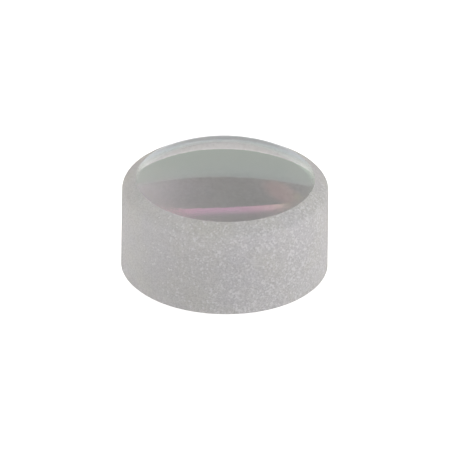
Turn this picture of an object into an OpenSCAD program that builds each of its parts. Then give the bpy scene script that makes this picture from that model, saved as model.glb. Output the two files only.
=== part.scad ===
// Plano-convex lens: one piece of optical glass with a flat face and a domed face.
// The flat face lies on the XY plane with the origin at its centre, and the optical
// axis runs up along +Z through the top of the dome.

/* [Glass blank] */
// Diameter of the ground edge
lens_d = 3.0; // [2:0.1:4.4]
// Thickness on the optical axis, from the flat face to the top of the dome
centre_t = 1.82; // [1.2:0.01:4]

/* [Domed face] */
// Radius of curvature of the polished dome
dome_r = 2.4; // [1.6:0.05:8]

/* [Bevels] */
// Width of the ground bevel round the dome, measured along the radius
dome_bevel_w = 0.20; // [0.1:0.01:0.4]
// Slope of that bevel above the flat face, in degrees
dome_bevel_angle = 34; // [32:1:60]
// Radius that rolls the bevel over into the edge
shoulder_r = 0.10; // [0.02:0.01:0.15]
// Width of the fine 45 degree bevel round the flat face
flat_bevel_w = 0.03; // [0.01:0.005:0.1]

/* [Hidden] */
$fn = 180;

edge_r = lens_d / 2;

// The dome is polished out to polish_r, where the bevel cuts it off.
polish_r = edge_r - dome_bevel_w;
dome_centre_z = centre_t - dome_r;
bevel_top_z = dome_centre_z + sqrt(pow(dome_r, 2) - pow(polish_r, 2));

// Where the bevel and the edge would meet if the shoulder were left sharp.
corner = [edge_r, bevel_top_z - dome_bevel_w * tan(dome_bevel_angle)];

// The shoulder arc stands this hair proud of true tangency, so that it always
// crosses the edge and the bevel instead of only touching them.
arc_overlap = 0.0002;
arc_inset = shoulder_r - arc_overlap;
shoulder_centre = corner - arc_inset * [1, tan((90 - dome_bevel_angle) / 2)];

// Half section of the blank after edging and bevelling, still with a flat top.
module blank_section() {
    polygon([
        [0, 0],
        [edge_r - flat_bevel_w, 0],
        [edge_r, flat_bevel_w],
        corner,
        [polish_r, bevel_top_z],
        [polish_r, centre_t],
        [0, centre_t]
    ]);
}

// Everything under the spherical surface, in the same section.
module dome_section() {
    translate([0, dome_centre_z]) circle(r = dome_r);
}

// The sharp corner outside the shoulder arc: a kite spanned by the two square
// lines from the arc's centre to the edge and to the bevel, less the arc itself.
module shoulder_waste() {
    reach = 2 * shoulder_r;
    translate(shoulder_centre)
    difference() {
        polygon([
            [0, 0],
            [reach, 0],
            [reach, reach * tan((90 - dome_bevel_angle) / 2)],
            reach * [sin(dome_bevel_angle), cos(dome_bevel_angle)]
        ]);
        circle(r = shoulder_r);
    }
}

// The whole lens, turned about its optical axis.
module lens() {
    color([0.74, 0.78, 0.76, 0.6])
    rotate_extrude()
    difference() {
        intersection() {
            blank_section();
            dome_section();
        }
        shoulder_waste();
    }
}

lens();
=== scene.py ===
"""Looks for the plano-convex lens: polished coated faces, fine-ground edge and bevels.

One turned mesh stands for the CAD solid "lens". Its section repeats the sizes of part.scad,
in metres, and carries three finishes: coated dome, coated flat face and ground glass.
The studio round it is a world of radiance by direction, fitted to the photograph's reflections.
"""

import math

import bmesh
import bpy
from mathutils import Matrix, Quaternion, Vector


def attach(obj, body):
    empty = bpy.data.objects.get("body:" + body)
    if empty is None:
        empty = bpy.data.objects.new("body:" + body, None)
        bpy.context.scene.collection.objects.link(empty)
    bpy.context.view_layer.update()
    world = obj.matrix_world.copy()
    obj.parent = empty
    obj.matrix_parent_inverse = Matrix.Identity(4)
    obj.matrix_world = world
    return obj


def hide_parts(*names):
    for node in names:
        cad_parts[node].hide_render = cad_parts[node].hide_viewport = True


MM = 0.001
IMAGE_SIDE = 449  # the photograph's width and height in pixels

# Sizes of part.scad
LENS_D = 3.0 * MM
CENTRE_T = 1.82 * MM
DOME_R = 2.4 * MM
DOME_BEVEL_W = 0.20 * MM
DOME_BEVEL_ANGLE = math.radians(34)
SHOULDER_R = 0.10 * MM
FLAT_BEVEL_W = 0.03 * MM

# Fineness of the turned mesh
SEGMENTS = 288  # round the axis
DOME_RINGS = 56
SHOULDER_RINGS = 8
WALL_RINGS = 14
FLAT_RINGS = 10
MIN_CREASE = math.radians(15)  # edges sharper than this keep their crease
ON_AXIS = 1e-9  # metres: a point of the section nearer than this is a single vertex

# Optics. The index was fitted together with DOME_R, to where the flat face's rim shows through
# the dome, and the film to the colours of the dome. Neither is a real recipe.
GLASS_IOR = 1.43
COATING_IOR = 1.32
COATING_NM = 540.0  # film thickness that reflects magenta steeply and green at a slant

# Polished faces. Scales of noise are per millimetre.
DOME_HAZE_SCALE = 1.3
FLAT_HAZE_SCALE = 0.9
HAZE = {"Detail": 3.0, "Roughness": 0.6}
HAZE_RANGE = (0.35, 0.75)  # noise that counts as clear and as hazy
HAZE_ROUGHNESS = (0.012, 0.035)
HAZE_TINTS = ((0.985, 1.0, 0.992, 1.0), (1.0, 1.0, 1.0, 1.0))
RIPPLE = {"Scale": 24.0, "Detail": 2.0, "Roughness": 0.5}
RIPPLE_HEIGHT = 0.004 * MM
RIPPLE_STRENGTH = 0.02
DOME_POLISH_EDGE = (1.19, 1.31)  # mm from the axis, where the polish starts to go and has gone
WORN_ROUGHNESS = 0.25  # what a worn edge adds
RAGGED = {"Scale": 30.0, "Detail": 2.0}
RAGGED_RANGE = (0.3, 0.7)  # noise that puts the border furthest out and furthest in
RAGGED_BY = 0.03  # mm by which it wanders either way

# Ground surface. Scales are per millimetre.
GRIT_SCALE = 60.0
PAINTED_GLINT_SCALE = 40.0
CLOUD = {"Scale": 1.6, "Detail": 3.0, "Roughness": 0.55}
CLOUD_RANGE = (0.35, 0.65)
CLOUD_TONES = ((0.775, 0.775, 0.76, 1.0), (0.76, 0.76, 0.785, 1.0))
COARSE_AND_GLITTER_SIDE = Vector((0.6, -0.8, 0.0))  # the front right, where the key light makes the ground edge glitter
# Two rises that add up: mm towards that side from and to, coarseness from and to. The rise
# towards the front right is partly coarser grinding, in the facets' tilt, and partly painted
# glitter, in the grain's colour contrast.
COARSE_AND_GLITTER_RISES = ((-1.25, -0.5, 0.45, 0.62), (0.2, 1.4, 0.0, 0.33))
FACETS_FADE = (0.1, 0.9)  # mm behind the axis over which the facets level out
GRAIN_CONTRAST = 0.30  # from the darkest facet to the palest where the coarseness is 1
GRAIN_LEVEL = 0.92
# Painted glints: pale flecks in the base colour that stand in for the key light's sparkle on the
# ground edge
PAINTED_GLINT_TONE = (0.89, 0.89, 0.91, 1.0)
PAINTED_GLINT_REACH = 1.5  # mm towards the front right at which the painted glints reach their full share
PAINTED_GLINT_SHARE = 0.16
FACET_TILT = 0.45
MICRO_TILT = 0.35  # scatter finer than a facet, which blurs the edge of total reflection
GROUND_ROUGHNESS = (0.65, 0.80)
GROUND_TRANSMISSION = 0.5

# Paper
FIBRE = {"Scale": 900.0, "Detail": 4.0}  # per metre
PAPER_TONES = ((0.93, 0.93, 0.93, 1), (0.95, 0.95, 0.95, 1))
PAPER_ROUGHNESS = 0.9
FLOOR_HALF_SIDE = 300 * MM
FLOOR_Z = -0.002 * MM
FLOOR_GLOW = 0.65
BACKING_HALF_SIDE = 60 * MM
BACKING_Z = -4 * MM
BACKING_GLOW = 1.0
SHADE_TONES = ((0.32, 0.345, 0.318, 1), (0.35, 0.375, 0.348, 1))  # painted shade right under the lens, given as glowing tones
SHADE_Z = -0.001 * MM

# Camera, from the fitted outline
VIEW_ELEVATION = math.radians(28.90)
VIEW_ROLL = math.radians(0.72)
PIXELS_PER_RADIUS = 103.36  # pixels that the lens radius spans in the photograph
AIM_POINT = Vector((0.0, 0.0, 0.65625 * MM))
AIM_PIXEL = (224.838, 225.784)  # where the aim point lies in the photograph
CAMERA_DISTANCE = 40 * MM
CLIP_START = 0.1 * MM
CLIP_END = 1.0


# ---------------------------------------------------------------- lens mesh


def lens_section():
    """Points of the half section from the flat face's centre to the top of the dome,
    and the finish of the stretch that ends at each point."""
    edge_r = LENS_D / 2
    polish_r = edge_r - DOME_BEVEL_W
    dome_centre_z = CENTRE_T - DOME_R
    bevel_top_z = dome_centre_z + math.sqrt(DOME_R**2 - polish_r**2)
    corner_z = bevel_top_z - DOME_BEVEL_W * math.tan(DOME_BEVEL_ANGLE)
    arc_sweep = math.pi / 2 - DOME_BEVEL_ANGLE
    arc_r = edge_r - SHOULDER_R
    arc_z = corner_z - SHOULDER_R * math.tan(arc_sweep / 2)

    section = [((0.0, 0.0), None)]
    flat_r = edge_r - FLAT_BEVEL_W
    for i in range(1, FLAT_RINGS + 1):
        section.append(((flat_r * i / FLAT_RINGS, 0.0), "flat"))
    section.append(((edge_r, FLAT_BEVEL_W), "ground"))
    for i in range(1, WALL_RINGS + 1):
        z = FLAT_BEVEL_W + (arc_z - FLAT_BEVEL_W) * i / WALL_RINGS
        section.append(((edge_r, z), "ground"))
    for i in range(1, SHOULDER_RINGS + 1):
        a = arc_sweep * i / SHOULDER_RINGS
        point = (arc_r + SHOULDER_R * math.cos(a), arc_z + SHOULDER_R * math.sin(a))
        section.append((point, "ground"))
    section.append(((polish_r, bevel_top_z), "ground"))
    rim_angle = math.asin(polish_r / DOME_R)
    for i in range(1, DOME_RINGS + 1):
        a = rim_angle * (1 - i / DOME_RINGS)
        point = (DOME_R * math.sin(a), dome_centre_z + DOME_R * math.cos(a))
        section.append((point, "dome"))
    return section


def turn_section(name, section, materials):
    """A closed mesh: the section turned about Z, each stretch with its own material."""
    finishes = list(materials)
    bm = bmesh.new()
    rings = []
    for (r, z), _finish in section:
        if r < ON_AXIS:
            rings.append([bm.verts.new((0.0, 0.0, z))])
            continue
        ring = []
        for k in range(SEGMENTS):
            a = 2 * math.pi * k / SEGMENTS
            ring.append(bm.verts.new((r * math.cos(a), r * math.sin(a), z)))
        rings.append(ring)
    for lower, upper, (_point, finish) in zip(rings, rings[1:], section[1:]):
        for k in range(SEGMENTS):
            n = (k + 1) % SEGMENTS
            if len(lower) == 1:
                corners = (lower[0], upper[n], upper[k])
            elif len(upper) == 1:
                corners = (lower[k], lower[n], upper[0])
            else:
                corners = (lower[k], lower[n], upper[n], upper[k])
            face = bm.faces.new(corners)
            face.material_index = finishes.index(finish)
            face.smooth = True
    for edge in bm.edges:
        a, b = edge.link_faces
        changes_finish = a.material_index != b.material_index
        edge.smooth = not changes_finish and edge.calc_face_angle() < MIN_CREASE
    mesh = bpy.data.meshes.new(name)
    bm.to_mesh(mesh)
    bm.free()
    for finish in finishes:
        mesh.materials.append(materials[finish])
    piece = bpy.data.objects.new(name, mesh)
    bpy.context.scene.collection.objects.link(piece)
    return piece


# ---------------------------------------------------------------- materials


class Nodes:
    """Short calls for building a node tree. A value may be a number or another node's socket."""

    def __init__(self, tree):
        self.tree = tree

    def add(self, kind, **inputs):
        """A new node. An input whose name has a space is written with _."""
        node = self.tree.nodes.new(kind)
        for key, value in inputs.items():
            self.put(node, key.replace("_", " "), value)
        return node

    def put(self, node, key, value):
        """Sets an input, named or numbered by its key, to a number or links it to a socket."""
        socket = node.inputs[int(key)] if key.isdigit() else node.inputs[key]
        if isinstance(value, bpy.types.NodeSocket):
            self.tree.links.new(value, socket)
        else:
            socket.default_value = value

    def math(self, operation, a, b=0.0):
        node = self.tree.nodes.new("ShaderNodeMath")
        node.operation = operation
        self.put(node, "0", a)
        self.put(node, "1", b)
        return node.outputs[0]

    def vector(self, operation, a, b=(0.0, 0.0, 0.0)):
        node = self.tree.nodes.new("ShaderNodeVectorMath")
        node.operation = operation
        self.put(node, "0", a)
        self.put(node, "1", b)
        gives_number = operation in ("DOT_PRODUCT", "LENGTH")
        return node.outputs["Value" if gives_number else "Vector"]

    def scale(self, a, factor):
        node = self.tree.nodes.new("ShaderNodeVectorMath")
        node.operation = "SCALE"
        self.put(node, "0", a)
        self.put(node, "Scale", factor)
        return node.outputs["Vector"]

    def pick(self, vector, axis):
        return self.add("ShaderNodeSeparateXYZ", Vector=vector).outputs[axis]

    def spread(self, value, low, high, to_low, to_high):
        """value from low..high, laid out to to_low..to_high and held at its ends."""
        node = self.tree.nodes.new("ShaderNodeMapRange")
        self.put(node, "Value", value)
        for key, number in zip(
            ("From Min", "From Max", "To Min", "To Max"), (low, high, to_low, to_high)
        ):
            self.put(node, key, number)
        return node.outputs[0]

    def mix(self, factor, a, b):
        """Colour: a where the factor is 0, b where it is 1."""
        node = self.tree.nodes.new("ShaderNodeMix")
        node.data_type = "RGBA"
        for key, value in (("0", factor), ("6", a), ("7", b)):
            self.put(node, key, value)
        return node.outputs[2]


def new_material(name):
    """A new node material, with its tree and its Principled shader."""
    material = bpy.data.materials.new(name)
    material.use_nodes = True
    nodes = Nodes(material.node_tree)
    return material, nodes, material.node_tree.nodes["Principled BSDF"]


def position_mm(nodes):
    """Place on the lens in millimetres."""
    return nodes.scale(nodes.add("ShaderNodeTexCoord").outputs["Object"], 1 / MM)


def worn_edge(nodes, place, polish_edge):
    """Roughness that sets in past a ragged border round the axis."""
    from_axis = nodes.vector("LENGTH", nodes.vector("MULTIPLY", place, (1.0, 1.0, 0.0)))
    ragged = nodes.add("ShaderNodeTexNoise", Vector=place, **RAGGED)
    wander = nodes.spread(ragged.outputs[0], *RAGGED_RANGE, -RAGGED_BY, RAGGED_BY)
    reach = nodes.math("ADD", from_axis, wander)
    return nodes.spread(reach, *polish_edge, 0.0, WORN_ROUGHNESS)


def coated_glass(name, haze_scale, polish_edge=None):
    """Polished glass under its anti-reflection film, with the faint haze that wiping leaves.
    Past the polish edge, if there is one, the polish is worn."""
    material, nodes, shader = new_material(name)
    place = position_mm(nodes)
    haze = nodes.add("ShaderNodeTexNoise", Vector=place, Scale=haze_scale, **HAZE)
    roughness = nodes.spread(haze.outputs[0], *HAZE_RANGE, *HAZE_ROUGHNESS)
    if polish_edge:
        worn = worn_edge(nodes, place, polish_edge)
        roughness = nodes.math("ADD", roughness, worn)
    nodes.put(shader, "Roughness", roughness)
    nodes.put(shader, "Base Color", nodes.mix(haze.outputs[0], *HAZE_TINTS))
    ripple = nodes.add("ShaderNodeTexNoise", Vector=place, **RIPPLE)
    relief = nodes.add(
        "ShaderNodeBump",
        Strength=RIPPLE_STRENGTH,
        Distance=RIPPLE_HEIGHT,
        Height=ripple.outputs[0],
    )
    nodes.put(shader, "Normal", relief.outputs[0])
    nodes.put(shader, "IOR", GLASS_IOR)
    nodes.put(shader, "Transmission Weight", 1.0)
    nodes.put(shader, "Thin Film Thickness", COATING_NM)
    nodes.put(shader, "Thin Film IOR", COATING_IOR)
    return material


def ground_glass(name):
    """Fine-ground glass: pale grey facets at the size of the grinding grit. Towards the front
    right, where the grinding is coarser, it has painted glints: pale base-colour flecks for the
    key light's sparkle."""
    material, nodes, shader = new_material(name)
    place = position_mm(nodes)
    facet = nodes.add("ShaderNodeTexVoronoi", Vector=place, Scale=GRIT_SCALE)
    cloud = nodes.add("ShaderNodeTexNoise", Vector=place, **CLOUD)
    clouded = nodes.spread(cloud.outputs[0], *CLOUD_RANGE, 0.0, 1.0)
    tone = nodes.mix(clouded, *CLOUD_TONES)
    side = nodes.vector("DOT_PRODUCT", place, COARSE_AND_GLITTER_SIDE)
    first_rise, second_rise = (nodes.spread(side, *rise) for rise in COARSE_AND_GLITTER_RISES)
    # Coarseness, which towards the front right is also painted glitter: the grain's colour
    # contrast rises where the key light sparkles
    coarse_and_glitter = nodes.math("ADD", first_rise, second_rise)
    grain = nodes.math("SUBTRACT", nodes.pick(facet.outputs["Color"], "X"), 0.5)
    contrast = nodes.math("MULTIPLY", coarse_and_glitter, GRAIN_CONTRAST)
    shade = nodes.math("ADD", nodes.math("MULTIPLY", grain, contrast), GRAIN_LEVEL)
    matt = nodes.scale(tone, shade)

    # Painted glints: pale base-colour flecks, denser towards the front right, that stand in for
    # the key light's sparkle
    painted_glint = nodes.add("ShaderNodeTexVoronoi", Vector=place, Scale=PAINTED_GLINT_SCALE)
    chance = nodes.pick(painted_glint.outputs["Color"], "Z")
    share = nodes.spread(side, 0.0, PAINTED_GLINT_REACH, 0.0, PAINTED_GLINT_SHARE)
    is_painted_glint = nodes.math("LESS_THAN", chance, share)
    nodes.put(shader, "Base Color", nodes.mix(is_painted_glint, matt, PAINTED_GLINT_TONE))
    fineness = nodes.pick(facet.outputs["Color"], "Y")
    nodes.put(shader, "Roughness", nodes.spread(fineness, 0.0, 1.0, *GROUND_ROUGHNESS))

    # The facets level out towards the back, where they would show as specks through the dome
    in_front = nodes.spread(nodes.pick(place, "Y"), *FACETS_FADE, 1.0, 0.0)
    steepness = nodes.math("MULTIPLY", nodes.math("MULTIPLY", coarse_and_glitter, in_front), FACET_TILT)
    middle = (0.5, 0.5, 0.5)
    facet_lean = nodes.vector("SUBTRACT", facet.outputs["Color"], middle)
    micro = nodes.add("ShaderNodeTexWhiteNoise", Vector=place).outputs["Color"]
    micro_lean = nodes.vector("SUBTRACT", micro, middle)
    tilt = nodes.vector(
        "ADD", nodes.scale(facet_lean, steepness), nodes.scale(micro_lean, MICRO_TILT)
    )
    smooth = nodes.add("ShaderNodeNewGeometry").outputs["Normal"]
    tilted = nodes.vector("NORMALIZE", nodes.vector("ADD", smooth, tilt))
    nodes.put(shader, "Normal", tilted)
    nodes.put(shader, "IOR", GLASS_IOR)
    nodes.put(shader, "Transmission Weight", GROUND_TRANSMISSION)
    return material


def paper(name, glow):
    """White paper that glows too, so that it renders as pure white as in the photograph."""
    material, nodes, shader = new_material(name)
    place = nodes.add("ShaderNodeTexCoord").outputs["Object"]
    fibre = nodes.add("ShaderNodeTexNoise", Vector=place, **FIBRE)
    nodes.put(shader, "Base Color", nodes.mix(fibre.outputs[0], *PAPER_TONES))
    nodes.put(shader, "Roughness", PAPER_ROUGHNESS)
    nodes.put(shader, "Emission Color", (1.0, 1.0, 1.0, 1.0))
    nodes.put(shader, "Emission Strength", glow)
    return material


def painted_shade_paper(name):
    """Painted shade: paper in the lens's own shade, as a fixed glowing radiance with no lamp
    behind it.
    """
    material, nodes, shader = new_material(name)
    fibre = nodes.add("ShaderNodeTexNoise", **FIBRE)
    nodes.put(shader, "Base Color", (0.0, 0.0, 0.0, 1.0))
    nodes.put(shader, "Emission Color", nodes.mix(fibre.outputs[0], *SHADE_TONES))
    nodes.put(shader, "Emission Strength", 1.0)
    return material


# ---------------------------------------------------------------- the object

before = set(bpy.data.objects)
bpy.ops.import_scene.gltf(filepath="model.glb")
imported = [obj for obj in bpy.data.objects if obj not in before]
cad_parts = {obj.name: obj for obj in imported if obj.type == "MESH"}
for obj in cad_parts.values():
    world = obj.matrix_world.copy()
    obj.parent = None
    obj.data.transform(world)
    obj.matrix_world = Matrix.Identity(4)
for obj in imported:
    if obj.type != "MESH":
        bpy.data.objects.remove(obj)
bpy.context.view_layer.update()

lens = turn_section(
    "lens_glass",
    lens_section(),
    {
        "dome": coated_glass("coated_dome", DOME_HAZE_SCALE, DOME_POLISH_EDGE),
        "flat": coated_glass("coated_flat_face", FLAT_HAZE_SCALE),
        "ground": ground_glass("fine_ground_glass"),
    },
)
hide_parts("lens")
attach(lens, "root")

# ---------------------------------------------------------------- floor


def flat_polygon(name, outline, material):
    """One face turned upwards, its outline listed anticlockwise as seen from above."""
    mesh = bpy.data.meshes.new(name)
    mesh.from_pydata(outline, [], [list(range(len(outline)))])
    mesh.materials.append(material)
    sheet = bpy.data.objects.new(name, mesh)
    bpy.context.scene.collection.objects.link(sheet)
    return sheet


def square(half_side, z):
    h = half_side
    return [(-h, -h, z), (h, -h, z), (h, h, z), (-h, h, z)]


def circle(radius, z):
    turns = [2 * math.pi * k / SEGMENTS for k in range(SEGMENTS)]
    return [(radius * math.cos(a), radius * math.sin(a), z) for a in turns]


# Only the camera sees the floor, which still gives shade. The lower part of a low view starts
# under the floor, and sees the backing instead.
floor_outline = square(FLOOR_HALF_SIDE, FLOOR_Z)
floor = flat_polygon("floor", floor_outline, paper("floor_paper", FLOOR_GLOW))
backing_outline = square(BACKING_HALF_SIDE, BACKING_Z)
backing = flat_polygon("floor_backing", backing_outline, paper("backing_paper", BACKING_GLOW))
for sheet in (floor, backing):
    sheet.visible_glossy = False
    sheet.visible_transmission = False
    sheet.visible_diffuse = False
backing.visible_shadow = False

# Painted shade: a sheet of fixed dim glow right under the flat face, seen only through the lens,
# for the paper there, which only light that has passed the lens reaches
painted_shade_outline = circle(LENS_D / 2 - FLAT_BEVEL_W, SHADE_Z)
painted_shade_material = painted_shade_paper("painted_shade_below_lens")
painted_shade_sheet = flat_polygon("painted_shade_below_lens", painted_shade_outline, painted_shade_material)
painted_shade_sheet.visible_camera = False
painted_shade_sheet.visible_glossy = False
painted_shade_sheet.visible_diffuse = False
painted_shade_sheet.visible_shadow = False

# ---------------------------------------------------------------- studio

# The studio as radiance by direction: X to the right, Y away from the camera, Z up.
# Angles are in degrees.


def heading(azimuth, elevation):
    """Direction: azimuth 0 behind the lens, 90 on its right."""
    a, e = math.radians(azimuth), math.radians(elevation)
    return Vector((math.sin(a) * math.cos(e), math.cos(a) * math.cos(e), math.sin(e)))


# Round patches: middle, radius that is full, radius beyond which nothing is left, radiance
LEFT_PANEL = (heading(-85, 50), 10, 25, (2.9, 2.75, 2.4, 1))
LOW_PANELS = [(heading(side, -1), 7, 15, (2.0, 1.6, 1.5, 1)) for side in (-25, 25)]
MAGENTA_GLOW = (heading(42, 46), 5, 13, (1.6, 0.9, 1.05, 1))
GREEN_GLOW = (heading(51, 36), 3, 9, (1.7, 2.0, 1.4, 1))
DIM_SPOT = (heading(0, -10), 4, 12, (0.50, 0.49, 0.50, 1))
# The same without a radiance, which comes further down
OVERHEAD = (heading(60, 85), 26, 46)
OPENING = (heading(-4, 43.5), 38.8, 39.6)  # the dark round opening behind the lens
TOP_RING = (OPENING[0], 41, 47)  # how far round the opening the overhead light shows

# Radiance of the room above the horizon and of the bench below it
ROOM = {
    "front": (0.72, 0.72, 0.72, 1),
    "back": (0.97, 0.92, 0.90, 1),
    "left": (0.84, 0.84, 0.82, 1),
    "right": (1.42, 1.39, 1.39, 1),
}
BENCH = {
    "front": (0.72, 0.72, 0.72, 1),
    "back": (0.94, 0.90, 0.87, 1),
    "left": (1.00, 0.99, 0.97, 1),
    "right": (1.20, 1.12, 1.10, 1),
}
LOW_BEHIND = (1.25, 1.18, 1.20, 1)
LOWEST_BEHIND = (1.7, 1.65, 1.6, 1)
LOWEST_FADE = (-55, -38)  # elevations from lowest to low
HIGH_ROOM = (0.05, 0.05, 0.05, 1)
HIGH_FADE = (22, 48)  # elevations from the room to its dark ceiling
HORIZON_FADE = (-1, 1)
TOP_ON_LEFT = (5.0, 5.0, 4.9, 1)
TOP_ON_RIGHT = (6.0, 8.6, 6.4, 1)

# Where one gives way to the other, as the part of the direction that points away or sideways
DEPTH_FADE = (-0.5, 0.6)  # front to back
BEHIND_FADE = (0.3, 0.8)  # bench to what is low behind
TOP_FADE = (0.2, 0.7)  # left to right overhead
LEFT_SIDE = heading(-100, 0)
RIGHT_SIDE = heading(110, 10)
SIDE_FALLOFF = 2.0  # power of the cosine from the side's middle

# Inside the opening the light grows along this direction: slope from and to, radiance
# from and to
OPENING_SLOPE = Vector((-0.342, 0.647, -0.681))
OPENING_LIGHT = (-0.55, 0.55, 0.09, 0.50)
OPENING_TINT = (1.08, 1.0, 1.02)

# Softbox that lights the ground edge from the front right
KEY_DIRECTION = heading(115, 30)
KEY_DISTANCE = 120 * MM
KEY_TARGET = (0, 0, 0.6 * MM)
KEY_SIDE = 14 * MM
KEY_RADIANCE = 53.0

world = bpy.data.worlds.new("studio")
bpy.context.scene.world = world
world.use_nodes = True
sky = Nodes(world.node_tree)
direction = sky.add("ShaderNodeTexCoord").outputs["Generated"]
sideways, away, height = (sky.pick(direction, axis) for axis in "XYZ")
elevation = sky.math("ARCSINE", height)


def soft(angle, low, high):
    """0 to 1 in an S curve as the angle goes from low to high degrees."""
    node = sky.tree.nodes.new("ShaderNodeMapRange")
    node.interpolation_type = "SMOOTHSTEP"
    sky.put(node, "Value", angle)
    sky.put(node, "From Min", math.radians(low))
    sky.put(node, "From Max", math.radians(high))
    return node.outputs[0]


def patch(around, centre, full, gone, radiance):
    """The radiance inside a soft round patch, and what is around it outside."""
    angle = sky.math("ARCCOSINE", sky.vector("DOT_PRODUCT", direction, centre))
    return sky.mix(soft(angle, full, gone), radiance, around)


def toward(side):
    """1 straight towards that side, and nothing beyond 90 degrees from it."""
    cosine = sky.math("MAXIMUM", sky.vector("DOT_PRODUCT", direction, side))
    return sky.math("POWER", cosine, SIDE_FALLOFF)


depth = sky.spread(away, *DEPTH_FADE, 0.0, 1.0)
on_left = toward(LEFT_SIDE)
on_right = toward(RIGHT_SIDE)


def surroundings(tones):
    """From front to back, with the tones of the sides towards left and right."""
    light = sky.mix(depth, tones["front"], tones["back"])
    light = sky.mix(on_left, light, tones["left"])
    return sky.mix(on_right, light, tones["right"])


room = surroundings(ROOM)
room = sky.mix(soft(elevation, *HIGH_FADE), room, HIGH_ROOM)
room = patch(room, *LEFT_PANEL)

low_behind = patch(LOW_BEHIND, *DIM_SPOT)
low_behind = sky.mix(soft(elevation, *LOWEST_FADE), LOWEST_BEHIND, low_behind)
behind = sky.spread(away, *BEHIND_FADE, 0.0, 1.0)
bench = sky.mix(behind, surroundings(BENCH), low_behind)

studio = sky.mix(soft(elevation, *HORIZON_FADE), bench, room)
for low_panel in LOW_PANELS:
    studio = patch(studio, *low_panel)
right_part = sky.spread(sideways, *TOP_FADE, 0.0, 1.0)
top_light = sky.mix(right_part, TOP_ON_LEFT, TOP_ON_RIGHT)
overhead = patch(studio, *OVERHEAD, top_light)
studio = patch(studio, *TOP_RING, overhead)

slope = sky.vector("DOT_PRODUCT", direction, OPENING_SLOPE)
opening_light = sky.scale(OPENING_TINT, sky.spread(slope, *OPENING_LIGHT))
opening_light = patch(opening_light, *MAGENTA_GLOW)
opening_light = patch(opening_light, *GREEN_GLOW)
studio = patch(studio, *OPENING, opening_light)

background = world.node_tree.nodes["Background"]
sky.put(background, "Color", studio)
sky.put(background, "Strength", 1.0)


def softbox(name, centre, target, side, radiance):
    """A square area light of that radiance, square on to its target."""
    light = bpy.data.lights.new(name, "AREA")
    light.shape = "RECTANGLE"
    light.size = side
    light.size_y = side
    light.energy = radiance * math.pi * side * side
    lamp = bpy.data.objects.new(name, light)
    lamp.location = centre
    lamp.rotation_mode = "QUATERNION"
    lamp.rotation_quaternion = (Vector(target) - Vector(centre)).to_track_quat("-Z", "Y")
    bpy.context.scene.collection.objects.link(lamp)
    return lamp


key_centre = KEY_DIRECTION * KEY_DISTANCE
key = softbox("key_softbox", key_centre, KEY_TARGET, KEY_SIDE, KEY_RADIANCE)
key.visible_transmission = False

# ---------------------------------------------------------------- camera

pixel = LENS_D / 2 / PIXELS_PER_RADIUS
toward_camera = Vector((0.0, -math.cos(VIEW_ELEVATION), math.sin(VIEW_ELEVATION)))
turn = (-toward_camera).to_track_quat("-Z", "Y") @ Quaternion((0, 0, 1), VIEW_ROLL)
right_way = turn @ Vector((1.0, 0.0, 0.0))
up_way = turn @ Vector((0.0, 1.0, 0.0))
image_middle = IMAGE_SIDE / 2
centre_of_view = (
    AIM_POINT
    - right_way * (AIM_PIXEL[0] - image_middle) * pixel
    + up_way * (AIM_PIXEL[1] - image_middle) * pixel
)
camera_data = bpy.data.cameras.new("camera")
camera_data.type = "ORTHO"
camera_data.ortho_scale = IMAGE_SIDE * pixel
camera_data.clip_start = CLIP_START
camera_data.clip_end = CLIP_END
camera = bpy.data.objects.new("camera", camera_data)
camera.location = centre_of_view + toward_camera * CAMERA_DISTANCE
camera.rotation_mode = "QUATERNION"
camera.rotation_quaternion = turn
bpy.context.scene.collection.objects.link(camera)
bpy.context.scene.camera = camera
bpy.context.scene.view_settings.view_transform = "Standard"
